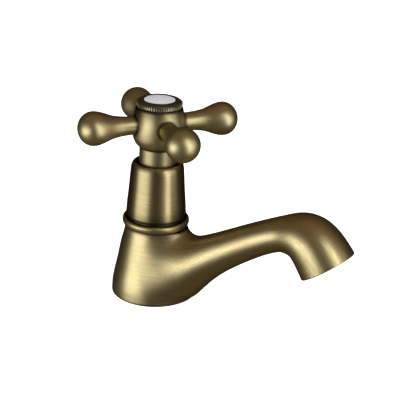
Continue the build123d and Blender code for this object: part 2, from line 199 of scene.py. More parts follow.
# ------------------------------------------------------------------ finishes
class Nodes:
    """A material and its node tree, with short ways to add and join nodes."""

    def __init__(self, name):
        self.mat = bpy.data.materials.new(name)
        self.mat.use_nodes = True
        self.tree = self.mat.node_tree
        self.tree.nodes.clear()
        self.out = self.add("ShaderNodeOutputMaterial")
        self.bsdf = self.add("ShaderNodeBsdfPrincipled")
        self.link(self.bsdf.outputs[0], self.out.inputs[0])

    def add(self, kind, **props):
        n = self.tree.nodes.new(kind)
        for k, v in props.items():
            setattr(n, k, v)
        return n

    def link(self, a, b):
        self.tree.links.new(a, b)

    def set(self, **values):
        for k, v in values.items():
            self.bsdf.inputs[k.replace("_", " ")].default_value = v

    def place(self, attribute, scale):
        """Stretched coordinates from a vertex attribute."""
        a = self.add("ShaderNodeAttribute", attribute_name=attribute)
        m = self.add("ShaderNodeVectorMath", operation="MULTIPLY")
        self.link(a.outputs["Vector"], m.inputs[0])
        m.inputs[1].default_value = scale
        return m.outputs[0]

    def object_place(self, scale):
        a = self.add("ShaderNodeTexCoord")
        m = self.add("ShaderNodeVectorMath", operation="MULTIPLY")
        self.link(a.outputs["Object"], m.inputs[0])
        m.inputs[1].default_value = scale
        return m.outputs[0]

    def noise(self, vector, detail=4.0, rough=0.6, scale=1.0, distortion=0.0):
        n = self.add("ShaderNodeTexNoise")
        self.link(vector, n.inputs["Vector"])
        n.inputs["Scale"].default_value = scale
        n.inputs["Detail"].default_value = detail
        n.inputs["Roughness"].default_value = rough
        n.inputs["Distortion"].default_value = distortion
        return n.outputs["Fac"]

    def spread(self, value, a, b, lo, hi, smooth=True):
        m = self.add("ShaderNodeMapRange", interpolation_type="SMOOTHSTEP" if smooth else "LINEAR")
        self.link(value, m.inputs["Value"])
        for k, v in zip(("From Min", "From Max", "To Min", "To Max"), (a, b, lo, hi)):
            m.inputs[k].default_value = v
        return m.outputs["Result"]

    def mix(self, fac, a, b):
        m = self.add("ShaderNodeMix", data_type="RGBA")
        for v, s in ((fac, m.inputs[0]), (a, m.inputs[6]), (b, m.inputs[7])):
            if isinstance(v, (tuple, list)):
                s.default_value = (*v, 1.0) if len(v) == 3 else v
            elif isinstance(v, (int, float)):
                s.default_value = v
            else:
                self.link(v, s)
        return m.outputs[2]

    def math(self, op, a, b=None):
        m = self.add("ShaderNodeMath", operation=op)
        for v, s in ((a, m.inputs[0]), (b, m.inputs[1])):
            if v is None:
                continue
            if isinstance(v, (int, float)):
                s.default_value = v
            else:
                self.link(v, s)
        return m.outputs[0]

    def bump(self, height, strength, distance):
        b = self.add("ShaderNodeBump")
        b.inputs["Strength"].default_value = strength
        b.inputs["Distance"].default_value = distance
        self.link(height, b.inputs["Height"])
        self.link(b.outputs[0], self.bsdf.inputs["Normal"])
        return b


PALE = (0.630, 0.512, 0.270)      # rubbed brass
DEEP = (0.500, 0.392, 0.196)      # oxidised brass between the brush marks
UMBER = (0.230, 0.150, 0.062)     # patina left in the hollows
PAINTED_SHADE_COLOUR = (0.050, 0.038, 0.024) # painted shade at its darkest, in corners, seams and under neighbouring parts
EDGE = (0.16, 0.14, 0.10, 1.0)    # oxidised metal mirrors little at a glancing angle


def bronze(name, lengths, aniso=0.0, rough=(0.33, 0.42), spout=False, strength=0.16, tone=1.0, light=0.5):
    """Brushed antique bronze under lacquer; lengths are marks per mm round and along the turning axis."""
    m = Nodes(name)
    around, along = lengths
    coarse = m.noise(m.place("lay", (around, around, along)), 5.0, 0.62)
    fine = m.noise(m.place("lay", (around * 2.1, around * 2.1, along * 4.3)), 3.0, 0.55)
    if spout:
        # the brushing turns to run along the spout
        mask = m.add("ShaderNodeAttribute", attribute_name="spoutness").outputs["Fac"]
        c2 = m.noise(m.place("along", (1.5, 1.5, 0.07)), 5.0, 0.62)
        f2 = m.noise(m.place("along", (6.0, 6.0, 0.15)), 3.0, 0.55)

        def blend(a, b):
            k = m.add("ShaderNodeMix", data_type="FLOAT")
            m.link(mask, k.inputs[0])
            m.link(a, k.inputs[2])
            m.link(b, k.inputs[3])
            return k.outputs[0]

        coarse, fine = blend(coarse, c2), blend(fine, f2)
    cloud = m.noise(m.object_place((75.0, 75.0, 75.0)), 3.0, 0.5)
    marks = m.math("ADD", m.math("MULTIPLY", coarse, 0.62), m.math("MULTIPLY", fine, 0.38))
    colour = m.mix(m.spread(marks, 0.36, 0.64, light - 0.5 * tone, light + 0.5 * tone), DEEP, PALE)
    hollow = m.add("ShaderNodeNewGeometry").outputs["Pointiness"]
    worn = m.spread(hollow, 0.40, 0.49, 0.65, 0.0)
    stain = m.math("MAXIMUM", worn, m.spread(cloud, 0.48, 0.78, 0.0, 0.14))
    colour = m.mix(stain, colour, UMBER)
    # painted shade: this mask darkens the colour towards near black where shade falls in corners, grooves and under
    # neighbouring parts
    painted_shade = m.add("ShaderNodeAttribute", attribute_name="painted_shade").outputs["Fac"]
    colour = m.mix(m.math("MULTIPLY", painted_shade, m.spread(fine, 0.25, 0.6, 1.0, 0.86)), colour, PAINTED_SHADE_COLOUR)
    m.link(colour, m.bsdf.inputs["Base Color"])
    m.link(m.spread(marks, 0.34, 0.66, rough[1], rough[0]), m.bsdf.inputs["Roughness"])
    m.bump(marks, strength, 0.00006)
    m.set(Metallic=1.0, Coat_Weight=0.03, Coat_Roughness=0.30, Specular_Tint=EDGE)
    if aniso:
        m.set(Anisotropic=aniso, Anisotropic_Rotation=0.25)
        t = m.add("ShaderNodeTangent", direction_type="RADIAL", axis="Z")
        m.link(t.outputs[0], m.bsdf.inputs["Tangent"])
    return m.mat


def knurl_bronze():
    """Blackened bronze with the high points rubbed through."""
    m = Nodes("dark_bronze_rubbed")
    marks = m.noise(m.place("lay", (0.35, 0.35, 3.0)), 4.0, 0.6)
    cloud = m.noise(m.object_place((220.0, 220.0, 220.0)), 3.0, 0.55)
    high = m.add("ShaderNodeAttribute", attribute_name="proud").outputs["Fac"]
    rub = m.math("ADD", high, m.spread(cloud, 0.3, 0.7, -0.08, 0.08))
    top = m.mix(m.spread(marks, 0.35, 0.65, 0.0, 1.0), (0.165, 0.145, 0.105), (0.250, 0.220, 0.160))
    low = m.mix(m.spread(rub, 0.05, 0.50, 0.0, 1.0), (0.030, 0.024, 0.016), top)
    m.link(m.mix(m.spread(rub, 0.60, 1.0, 0.0, 1.0), low, (0.58, 0.48, 0.29)), m.bsdf.inputs["Base Color"])
    m.link(m.spread(marks, 0.3, 0.7, 0.50, 0.42), m.bsdf.inputs["Roughness"])
    m.bump(marks, 0.15, 0.00005)
    m.set(Metallic=1.0, Coat_Weight=0.08, Coat_Roughness=0.3)
    return m.mat


def porcelain():
    m = Nodes("porcelain_glaze")
    cloud = m.noise(m.object_place((160.0, 160.0, 160.0)), 3.0, 0.5)
    speck = m.noise(m.object_place((2600.0, 2600.0, 2600.0)), 1.0, 0.4)
    base = m.mix(m.spread(cloud, 0.35, 0.65, 0.0, 1.0), (0.790, 0.825, 0.885), (0.865, 0.895, 0.940))
    base = m.mix(m.spread(speck, 0.70, 0.80, 0.0, 0.35), base, (0.62, 0.60, 0.56))
    m.link(base, m.bsdf.inputs["Base Color"])
    m.link(m.spread(cloud, 0.3, 0.7, 0.20, 0.13), m.bsdf.inputs["Roughness"])
    m.bump(cloud, 0.10, 0.0002)
    m.set(Coat_Weight=0.6, Coat_Roughness=0.08)
    return m.mat


def brass(name, lengths=(0.10, 4.0)):
    m = Nodes(name)
    marks = m.noise(m.place("lay", (lengths[0], lengths[0], lengths[1])), 4.0, 0.6)
    cloud = m.noise(m.object_place((120.0, 120.0, 120.0)), 3.0, 0.5)
    c = m.mix(m.spread(marks, 0.35, 0.65, 0.0, 1.0), (0.500, 0.355, 0.130), (0.690, 0.520, 0.235))
    c = m.mix(m.spread(cloud, 0.48, 0.75, 0.0, 0.45), c, (0.270, 0.170, 0.060))
    m.link(c, m.bsdf.inputs["Base Color"])
    m.link(m.spread(marks, 0.3, 0.7, 0.38, 0.26), m.bsdf.inputs["Roughness"])
    m.bump(marks, 0.18, 0.00006)
    m.set(Metallic=1.0)
    return m.mat


def machined(name, dark, light, rough, scale, metallic=1.0, strength=0.15):
    """A carried-over inner piece: fine grain in its own colours."""
    m = Nodes(name)
    grain = m.noise(m.object_place(scale), 4.0, 0.6)
    cloud = m.noise(m.object_place((140.0, 140.0, 140.0)), 2.0, 0.5)
    tone = m.math("ADD", m.math("MULTIPLY", grain, 0.7), m.math("MULTIPLY", cloud, 0.3))
    m.link(m.mix(m.spread(tone, 0.36, 0.64, 0.0, 1.0), dark, light), m.bsdf.inputs["Base Color"])
    m.link(m.spread(grain, 0.3, 0.7, rough[1], rough[0]), m.bsdf.inputs["Roughness"])
    m.bump(grain, strength, 0.00008)
    m.set(Metallic=metallic)
    return m.mat


BODY = bronze("antique_bronze_body", (0.055, 1.5), rough=(0.36, 0.40), spout=True, strength=0.05)
TURNED = bronze("antique_bronze_turned", (0.050, 1.7), aniso=0.60, rough=(0.37, 0.42), strength=0.12, light=0.12)
ARMS = bronze("antique_bronze_arms", (0.050, 1.3), rough=(0.41, 0.45), strength=0.02, tone=0.40, light=0.80)
HUB = bronze("antique_bronze_hub", (0.050, 1.3), rough=(0.40, 0.44), strength=0.02, tone=0.40, light=0.72)
BEAD = bronze("antique_bronze_bead", (0.050, 1.3), rough=(0.39, 0.43), strength=0.02, tone=0.35, light=0.25)
KNURL = knurl_bronze()
GLAZE = porcelain()
BRASS = brass("plain_brass_turned")
STEEL = machined("steel_ground", (0.36, 0.37, 0.38), (0.62, 0.63, 0.64), (0.24, 0.36), (900.0, 900.0, 4000.0))
RUBBER = machined("black_rubber_moulded", (0.012, 0.012, 0.013), (0.030, 0.029, 0.028), (0.52, 0.70), (1800.0, 1800.0, 1800.0), 0.0, 0.25)
WHITE_ACETAL = machined("white_acetal_moulded", (0.70, 0.70, 0.68), (0.82, 0.82, 0.80), (0.34, 0.46), (1300.0, 1300.0, 1300.0), 0.0, 0.08)
GREY_ACETAL = machined("grey_acetal_moulded", (0.18, 0.185, 0.19), (0.27, 0.275, 0.28), (0.36, 0.50), (1300.0, 1300.0, 1300.0), 0.0, 0.10)
ALUMINA = machined("alumina_lapped", (0.66, 0.64, 0.60), (0.80, 0.79, 0.76), (0.20, 0.30), (2200.0, 2200.0, 2200.0), 0.0, 0.05)
FIBRE = machined("red_fibre_pressed", (0.20, 0.030, 0.020), (0.36, 0.060, 0.038), (0.62, 0.80), (700.0, 700.0, 2600.0), 0.0, 0.30)


# ------------------------------------------------------------------ body: foot, pedestal and spout in one flowing skin
foot = spline([0.8, 6.6, 16.9, 27.1, 33.7, 36.2], [21.58, 21.27, 19.30, 17.51, 15.96, 15.60], -0.02, -0.02)
RELIEF, RELIEF_H = 3.35, 12.4      # the foot is drawn in a little below the spout's root
STEP = [0, 0.16, 0.32, 0.48, 0.62, 0.74, 0.86, 1.0]
lead = {
    "x": spline(STEP, [15.94, 21.66, 34.97, 55.25, 69.93, 78.32, 87.33, 97.91]),
    "z": spline(STEP, [14.85, 19.98, 29.20, 41.82, 49.26, 51.30, 50.17, 38.11]),
    "r": spline(STEP, [14.57, 13.46, 10.45, 8.64, 8.56, 10.26, 12.78, 14.25]),
}
MOUTH = np.array([97.01, 0.0, 39.77])
MOUTH_OUT = np.array([math.cos(math.radians(-54)), 0.0, math.sin(math.radians(-54))])


def lead_points(count):
    """Centres and radii down the spout, run on straight past the mouth."""
    t = np.linspace(0, 1, count)
    x, z, r = (lead[k](t)[0] for k in "xzr")
    last = np.arange(1, count // 8 + 1) * np.hypot(x[-1] - x[-2], z[-1] - z[-2])
    x = np.concatenate([x, x[-1] + last * MOUTH_OUT[0]])
    z = np.concatenate([z, z[-1] + last * MOUTH_OUT[2]])
    r = np.concatenate([r, np.full(len(last), r[-1])])
    return x, z, r


def near_lead(p, line):
    """Distance outside the spout, its direction, and how far along and where round it each point is."""
    x, z, r = line
    run = np.concatenate([[0], np.cumsum(np.hypot(np.diff(x), np.diff(z)))])
    d_out, n_out, s_out = np.empty(len(p)), np.empty((len(p), 3)), np.empty(len(p))
    for i in range(0, len(p), 20000):
        q = p[i:i + 20000]
        d = np.sqrt((q[:, 0:1] - x) ** 2 + (q[:, 2:3] - z) ** 2 + q[:, 1:2] ** 2) - r
        k = np.clip(d.argmin(1), 1, len(x) - 2)
        rows = np.arange(len(q))
        a, b, c = d[rows, k - 1], d[rows, k], d[rows, k + 1]
        bend = a - 2 * b + c
        f = np.clip(np.where(np.abs(bend) > 1e-12, 0.5 * (a - c) / np.where(np.abs(bend) > 1e-12, bend, 1), 0), -1, 1)
        j = np.where(f < 0, k - 1, k + 1)
        g = np.abs(f)
        cx, cz, cs = (v[k] * (1 - g) + v[j] * g for v in (x, z, run))
        off = q - np.stack([cx, np.zeros(len(q)), cz], 1)
        n_out[i:i + 20000] = off / np.maximum(np.linalg.norm(off, axis=1), 1e-9)[:, None]
        d_out[i:i + 20000] = b - 0.25 * (a - c) * f
        s_out[i:i + 20000] = cs
    return d_out, n_out, s_out


def near_foot(p):
    rho = np.maximum(np.hypot(p[:, 0], p[:, 1]), 1e-6)
    r, s = foot(np.clip(p[:, 2], 0.8, 36.2))
    s = np.where((p[:, 2] > 36.2) | (p[:, 2] < 0.8), 0.0, s)
    c = 1 / np.sqrt(1 + s * s)
    ca, sa = p[:, 0] / rho, p[:, 1] / rho
    front = np.clip(ca, 0, 1)
    v = 1 - np.clip(p[:, 2] / RELIEF_H, 0, 1)
    low = v * v * (3 - 2 * v)
    r = r - RELIEF * front**7.9 * low
    swing = 7.9 * RELIEF * front**6.9 * sa * low / rho                # its change round the axis, per mm
    s = s + RELIEF * front**7.9 * 6 * v * (1 - v) / RELIEF_H
    return (rho - r) * c, np.stack([(ca + swing * sa) * c, (sa - swing * ca) * c, -s * c], 1)


def soft(z):
    """How widely the spout and the pedestal melt together at a height, mm, and its slope."""
    u = np.clip((z - 16.0) / 22.0, 0, 1)
    return 8.29 + 3.54 * u * u * (3 - 2 * u), 3.54 * 6 * u * (1 - u) / 22.0


def skin(p, line):
    a, na = near_foot(p)
    b, nb, s = near_lead(p, line)
    k, slope = soft(p[:, 2])
    h = np.clip(0.5 + 0.5 * (a - b) / k, 0, 1)
    n = na * (1 - h[:, None]) + nb * h[:, None]
    n[:, 2] -= h * (1 - h) * slope
    return a * (1 - h) + b * h - k * h * (1 - h), n, h, s


def surface_of(line, lo, hi, step):
    """Quads over the skin, one vertex a cell."""
    ax = [np.arange(lo[i], hi[i] + step, step) for i in range(3)]
    grid = np.stack(np.meshgrid(*ax, indexing="ij"), -1).reshape(-1, 3)
    inside = (skin(grid, line)[0] < 0).reshape([len(a) for a in ax])
    nx, ny, nz = inside.shape
    total = np.zeros((nx - 1, ny - 1, nz - 1), np.int8)
    for i in (0, 1):
        for j in (0, 1):
            for k in (0, 1):
                total += inside[i:nx - 1 + i, j:ny - 1 + j, k:nz - 1 + k]
    live = (total > 0) & (total < 8)
    cells = np.argwhere(live)
    index = np.full(live.shape, -1)
    index[live] = np.arange(len(cells))
    verts = np.array(lo) + (cells + 0.5) * step
    faces = []
    for axis in range(3):
        u, v = [(1, 2), (2, 0), (0, 1)][axis]
        first, second = [slice(None)] * 3, [slice(None)] * 3
        first[axis], second[axis] = slice(0, -1), slice(1, None)
        s0, s1 = inside[tuple(first)], inside[tuple(second)]
        at = np.argwhere(s0 != s1)
        at = at[(at[:, u] > 0) & (at[:, v] > 0) & (at[:, u] < inside.shape[u] - 1) & (at[:, v] < inside.shape[v] - 1)]
        out = s0[tuple(at.T)]
        ring = []
        for du, dv in ((-1, -1), (0, -1), (0, 0), (-1, 0)):
            c = at.copy()
            c[:, u] += du
            c[:, v] += dv
            ring.append(index[tuple(c.T)])
        ring = np.stack(ring, 1)
        ring[~out] = ring[~out][:, ::-1]
        faces.append(ring)
    return verts, np.concatenate(faces)


def relax(verts, faces, line, rounds):
    """Evens the quads out while holding them on the skin."""
    e = np.concatenate([faces[:, [i, (i + 1) % 4]] for i in range(4)])
    e = np.concatenate([e, e[:, ::-1]])
    count = np.bincount(e[:, 0], minlength=len(verts))[:, None]
    for r in range(rounds):
        mean = np.stack([np.bincount(e[:, 0], verts[e[:, 1], i], len(verts)) for i in range(3)], 1) / np.maximum(count, 1)
        verts = verts + 0.55 * (mean - verts)
        for _ in range(2 if r < rounds - 1 else 4):
            d, n, _, _ = skin(verts, line)
            verts = verts - (d / np.maximum((n * n).sum(1), 1e-6))[:, None] * n
    return verts


def build_body():
    line = lead_points(300)
    verts, faces = surface_of(lead_points(90), (-23.4, -23.4, -1.6), (113.0, 23.4, 63.0), 0.70)
    verts = relax(verts, faces, line, 10)
    # the pedestal is cut at its shoulder, the foot where its edge starts to round, the spout at the mouth
    shoulder, edge_z = 37.2, 0.45
    below = np.array([0, 0, -1.0])
    cuts = [
        (np.array([0, 0, edge_z]), below, lambda v: v[:, 0] < 60),
        (np.array([0, 0, shoulder]), -below, lambda v: np.hypot(v[:, 0], v[:, 1]) < 20.5),
        (MOUTH, MOUTH_OUT, lambda v: v[:, 0] > 75),
    ]
    for at, out, where in cuts:
        # vertices close to a cut are drawn on to it first, so that it leaves no slivers
        s = (verts - at) @ out
        near = (np.abs(s) < 0.26) & where(verts)
        p = verts[near]
        for _ in range(6):
            d, n, _, _ = skin(p, line)
            n = n / np.linalg.norm(n, axis=1)[:, None]
            p = p - d[:, None] * n
            side = out - n * (n @ out)[:, None]
            side /= np.maximum((side @ out)[:, None], 1e-3)
            p = p - ((p - at) @ out)[:, None] * side
        verts[near] = p
    bm = bmesh.new()
    bv = [bm.verts.new(v) for v in verts]
    for f in faces:
        try:
            bm.faces.new([bv[i] for i in f])
        except ValueError:
            pass
    for at, out, where in cuts:
        bm.faces.ensure_lookup_table()
        near = [f for f in bm.faces if where(np.array([f.calc_center_median()]))[0]]
        geom = list({v for f in near for v in f.verts}) + list({e for f in near for e in f.edges}) + near
        bmesh.ops.bisect_plane(bm, geom=geom, dist=1e-4, plane_co=Vector(at), plane_no=Vector(out))
        gone = [
            f for f in bm.faces
            if where(np.array([f.calc_center_median()]))[0] and (np.array(f.calc_center_median()) - at) @ out > 1e-5
        ]
        bmesh.ops.delete(bm, geom=gone, context="FACES")
    loose = [v for v in bm.verts if not v.link_faces]
    bmesh.ops.delete(bm, geom=loose, context="VERTS")

    def open_loop(test):
        """The open edge that passes test, as vertices in order."""
        edges = [e for e in bm.edges if e.is_boundary and test(e.verts[0].co) and test(e.verts[1].co)]
        nxt = {}
        for e in edges:
            a, b = e.verts
            nxt.setdefault(a, []).append(b)
            nxt.setdefault(b, []).append(a)
        start = edges[0].verts[0]
        loop, prev, cur = [start], None, start
        while True:
            step = [v for v in nxt[cur] if v is not prev]
            prev, cur = cur, step[0]
            if cur is start:
                return loop
            loop.append(cur)

    def strip(loop, places):
        new = [bm.verts.new(p) for p in places]
        n = len(loop)
        for i in range(n):
            j = (i + 1) % n
            bm.faces.new((loop[i], loop[j], new[j], new[i]))
        return new

    def zip_loops(outer, inner, angle):
        """Triangles between two loops of different counts about one axis."""
        def ordered(loop):
            a = [angle(v.co) for v in loop]
            if sum(1 for i in range(len(a)) if (a[(i + 1) % len(a)] - a[i]) % (2 * math.pi) < math.pi) < len(a) / 2:
                loop, a = loop[::-1], a[::-1]
            k = min(range(len(a)), key=lambda i: a[i])
            return loop[k:] + loop[:k], a[k:] + a[:k]

        A, aa = ordered(outer)
        B, bb = ordered(inner)
        i = j = 0
        while i < len(A) or j < len(B):
            na = aa[i + 1] if i + 1 < len(A) else aa[0] + 2 * math.pi
            nb = bb[j + 1] if j + 1 < len(B) else bb[0] + 2 * math.pi
            if j >= len(B) or (i < len(A) and na <= nb):
                bm.faces.new((A[i % len(A)], A[(i + 1) % len(A)], B[j % len(B)]))
                i += 1
            else:
                bm.faces.new((A[i % len(A)], B[(j + 1) % len(B)], B[j % len(B)]))
                j += 1

    def circle(centre, u, v, r, n=120):
        return [Vector(centre + r * (math.cos(t) * u + math.sin(t) * v)) for t in 2 * np.pi * np.arange(n) / n]

    def bore(first, centre, u, v, back, steps, angle, close=True):
        """Rings of (radius, depth) joined on to a loop of the same count."""
        loop = first
        for r, depth in steps:
            loop = strip(loop, circle(centre + back * depth, u, v, r))
        if close:
            bm.faces.new(loop)
        return loop

    X, Y, Z = np.eye(3)
    flat = lambda c: math.atan2(c[1], c[0]) % (2 * math.pi)

    # foot: rounded edge, gasket recess, socket for the tail
    loop = open_loop(lambda c: abs(c[2] - edge_z) < 1e-3)
    base = np.array([v.co for v in loop])
    n = skin(base, line)[1]
    n[:, 2] = 0
    n /= np.linalg.norm(n, axis=1)[:, None]
    for a in np.radians([15, 30, 45, 60, 75, 90]):
        p = base - n * edge_z * (1 - math.cos(a))
        p[:, 2] = edge_z * (1 - math.sin(a))
        loop = strip(loop, p)
    ring = [bm.verts.new(c) for c in circle(np.zeros(3), X, Y, 19.2)]
    zip_loops(loop, ring, flat)
    socket = bore(ring, np.zeros(3), X, Y, Z, [(19.2, 2.0), (13.0, 2.0), (13.0, 0.25), (12.75, 0.0), (10.55, 0.0), (10.55, 15.0), (6.0, 15.0), (6.0, 19.5)], flat, close=False)

    # shoulder and the boss inside the bonnet, then down into the valve chamber
    loop = open_loop(lambda c: abs(c[2] - shoulder) < 1e-3 and math.hypot(c[0], c[1]) < 21)
    ring = [bm.verts.new(c) for c in circle(Z * shoulder, X, Y, 13.4)]
    zip_loops(loop, ring, flat)
    chamber = bore(ring, np.zeros(3), X, Y, Z, [(13.4, 44.5), (12.9, 45.0), (10.55, 45.0), (10.55, 34.0), (12.0, 34.0), (12.0, 19.5)], flat, close=False)
    for i in range(120):
        j = (i + 1) % 120
        bm.faces.new((chamber[i], chamber[j], socket[j], socket[i]))

    # mouth: softly broken rim, then the bore that holds the aerator
    loop = open_loop(lambda c: abs((np.array(c) - MOUTH) @ MOUTH_OUT) < 1e-3 and c[0] > 75)
    rim = np.array([v.co for v in loop])
    back = -MOUTH_OUT
    V = np.cross(back, Y)
    off = rim - MOUTH
    off /= np.linalg.norm(off, axis=1)[:, None]
    lip = 0.55
    # the skin's last ring sits a lip's height back, so the rim can turn over without growing the mouth
    for v, o in zip(loop, off):
        v.co = v.co + Vector(back * lip)
    start = np.array([v.co for v in loop])
    for a in np.radians([18, 36, 54, 72, 90]):
        loop = strip(loop, start - back * lip * math.sin(a) - off * lip * (1 - math.cos(a)))
    turn = lambda c: math.atan2((np.array(c) - MOUTH) @ V, (np.array(c) - MOUTH) @ Y) % (2 * math.pi)
    ring = [bm.verts.new(c) for c in circle(MOUTH, Y, V, 11.35)]
    zip_loops(loop, ring, turn)
    bore(ring, MOUTH, Y, V, back, [(11.10, 0.08), (10.80, 0.55), (10.80, 9.5), (7.8, 9.5), (7.8, 12.5)], turn)

    bmesh.ops.recalc_face_normals(bm, faces=bm.faces)
    me = bpy.data.meshes.new("body_skin")
    bm.to_mesh(me)
    bm.free()
    co = np.empty(len(me.vertices) * 3)
    me.vertices.foreach_get("co", co)
    co = co.reshape(-1, 3)
    _, nn, h, s = skin(co, line)
    x, z, r = line
    run = np.concatenate([[0], np.cumsum(np.hypot(np.diff(x), np.diff(z)))])
    cx, cz = np.interp(s, run, x), np.interp(s, run, z)
    tx, tz = np.gradient(x, run), np.gradient(z, run)
    tx, tz = np.interp(s, run, tx), np.interp(s, run, tz)
    up = (co[:, 2] - cz) * tx - (co[:, 0] - cx) * tz
    me.vertices.foreach_set("co", (co * MM).astype(np.float32).ravel())
    finish_mesh(me, co, 38.0)
    at = me.attributes.new("along", "FLOAT_VECTOR", "POINT")
    at.data.foreach_set("vector", np.stack([co[:, 1], up, s], 1).astype(np.float32).ravel())
    at = me.attributes.new("spoutness", "FLOAT", "POINT")
    at.data.foreach_set("value", (h * h * (3 - 2 * h)).astype(np.float32))
    ob = bpy.data.objects.new("body_skin", me)
    rho = np.hypot(co[:, 0], co[:, 1])
    # painted shade: a dark band on the pedestal just under the ring, a darker patch in the saddle under the ring on the
    # spout side painted over a lamp's reflection, and a painted contact shadow along the foot's bottom edge
    ring_shadow = fade(co[:, 2], 36.3, 37.1) * (rho < 17.5)
    saddle_shade = 0.75 * fade(co[:, 2], 31.0, 36.0) * fade(co[:, 0] / rho, 0.50, 0.86) * fade(-rho, -18.6, -16.8)
    low = fade(-co[:, 2], -1.5, -0.35)
    mark(ob, "painted_shade", np.maximum(np.maximum(ring_shadow, saddle_shade), low))
    bpy.context.scene.collection.objects.link(ob)
    return ob


piece(build_body(), "tap", "body_casting", BODY)

# ------------------------------------------------------------------ trim ring and bonnet
ring_outline = (
    [(13.5, 37.2), (15.45, 37.2)]
    + flow([(15.6, 37.24), (16.15, 37.5), (16.6, 38.1), (16.88, 38.95), (16.97, 39.75), (16.92, 40.4), (16.72, 40.9), (16.35, 41.26), (15.9, 41.42)], 34)
    + [(15.5, 41.4), (15.1, 41.3), (14.6, 41.2), (14.4, 41.3), (14.3, 41.86), (13.5, 41.86)]
)
# painted shade on the ring: in the groove under the bonnet's edge and along its underside
piece(
    turned("ring_bead", ring_outline, 180, painted_shade=lambda p: np.maximum(fade(-np.hypot(p[:, 0], p[:, 1]) - 2.2 * (p[:, 2] < 39.0), -16.2, -15.5) * (p[:, 2] > 39), fade(-p[:, 2], -38.3, -37.3))),
    "tap", "trim_ring", BEAD,
)

bonnet_outline = (
    [(13.46, 41.95), (14.25, 41.95)]
    + flow([(14.3, 41.97), (14.72, 42.16), (15.02, 42.6), (15.17, 43.3), (15.2, 44.2)], 12, start=(1, 0.12), end=(-0.07, 1))
    + flow([(15.2, 44.2), (14.75, 50.6), (14.17, 57.0), (13.8, 62.0), (13.4, 67.2)], 44, start=(-0.07, 1))[1:]
    + flow([(13.4, 67.2), (13.2, 68.6), (12.64, 70.05), (12.1, 70.66), (11.6, 70.88)], 14, start=(-0.07, 1), end=(-1, 0.25))[1:]
    + [(11.38, 70.91), (11.17, 70.87), (10.99, 70.76), (10.87, 70.58), (10.82, 70.34), (10.8, 69.5), (11.3, 69.1)]
    + flow([(11.3, 69.1), (11.8, 66.5), (12.3, 60.0), (12.85, 51.0), (13.4, 47.0)], 14)[1:]
    + [(13.46, 46.8)]
)
# painted shade on the bonnet: darker towards its bottom edge where it mirrors the dark groove over the ring, and in the
# gap round its top opening
piece(
    turned(
        "bonnet_turned", bonnet_outline, 180,
        painted_shade=lambda p: np.maximum(np.maximum(fade(-p[:, 2], -44.8, -42.6), 0.5 * fade(-p[:, 2], -49.5, -43.5)), fade(-np.hypot(p[:, 0], p[:, 1]), -11.9, -10.95) * (p[:, 2] > 69)),
    ),
    "tap", "bonnet", TURNED,
)

# ------------------------------------------------------------------ handle: hub, four arms, knurled bezel, porcelain disc
hub_outline = (
    [(6.6, 69.5), (9.1, 69.5), (9.32, 69.58), (9.4, 69.8)]
    + [(9.4, z) for z in np.linspace(70.2, 78.8, 15)]
    + [(9.45, 78.92), (9.6, 78.96)]
    + flow([(9.75, 79.02), (10.8, 79.98), (11.87, 81.45), (12.65, 83.3), (13.1, 86.2), (13.22, 89.6), (12.92, 93.2), (12.3, 96.5), (11.7, 98.8)], 64, start=(0.9, 1), end=(-0.3, 1))
    + [(11.62, 99.05), (11.45, 99.35), (11.25, 99.58), (11.0, 99.7), (8.55, 99.7)]
    # down through it: seat of the bezel, room for the screw's head, screw hole, bore on the spindle
    + [(8.55, 94.8), (7.0, 94.8), (7.0, 89.5), (2.75, 89.5), (2.75, 86.0), (4.08, 86.0), (4.08, 72.0), (6.6, 72.0)]
)
ARM_Z = 90.6
ARM_AT = (("arm_right", 52.4), ("arm_back", 142.4), ("arm_left", 232.4), ("arm_front", 322.4))


def hub_painted_shade(p):
    """Painted shade under the bezel, in the corner over the neck, lightly over the neck itself and round each arm's
    root.
    """
    g = np.maximum(np.maximum(0.45 * fade(p[:, 2], 94.0, 98.0), fade(p[:, 2], 97.0, 99.2)), fade(-np.abs(p[:, 2] - 79.0), -1.0, -0.15))
    g = np.maximum(g, 0.20 * (p[:, 2] < 78.9))
    for _, deg in ARM_AT:
        a = math.radians(deg)
        out = p[:, 0] * math.cos(a) + p[:, 1] * math.sin(a)
        off = np.hypot(p[:, 1] * math.cos(a) - p[:, 0] * math.sin(a), p[:, 2] - ARM_Z)
        g = np.maximum(g, 0.9 * fade(-off, -6.0, -4.75) * (out > 5))
    return g


piece(turned("hub_turned", hub_outline, 240, painted_shade=hub_painted_shade), "handle", "handle_hub", HUB)

arm_outline = (
    [(0, 8.7), (2.55, 8.7), (2.95, 9.1), (2.95, 12.1), (4.2, 12.1)]
    + [(4.4, 12.16), (4.5, 12.35)]
    + [(r, x) for x, r in flow([(12.5, 4.50), (17.0, 4.72), (20.6, 5.10), (24.2, 5.84), (28.7, 7.50), (33.75, 8.50)], 64, start=(1, 0.02), end=(1, 0))]
    + [(8.5 * math.cos(t), 33.75 + 7.7 * math.sin(t)) for t in np.linspace(0, math.pi / 2, 28)][1:-1]
    + [(0, 41.45)]
)
for node, deg in ARM_AT:
    a = math.radians(deg)
    arm = turned(
        node + "_turned", arm_outline, 112, (math.cos(a), math.sin(a), 0), (0, 0, ARM_Z), closed=False,
        # painted shade round the arm's root where it enters the hub
        painted_shade=lambda p: 0.9 * fade(-p[:, 2], -14.2, -12.6),
    )
    piece(arm, "handle", node, ARMS)

TEETH = 58


def knurled(r, z, ang):
    """Rounded teeth round the lower edge, dying out towards its two rims."""
    u = (ang * TEETH / (2 * np.pi)) % 1.0
    tooth = np.clip((0.5 - np.abs(u - 0.5)) / 0.30, 0, 1)
    tooth = tooth * tooth * (3 - 2 * tooth)
    depth = 0.62 * np.clip((z - 99.9) / 0.22, 0, 1) * np.clip((102.2 - z) / 0.35, 0, 1) * (1.0 if r > 10.8 else 0.0)
    return r - depth * (1 - tooth), np.full(len(ang), z)


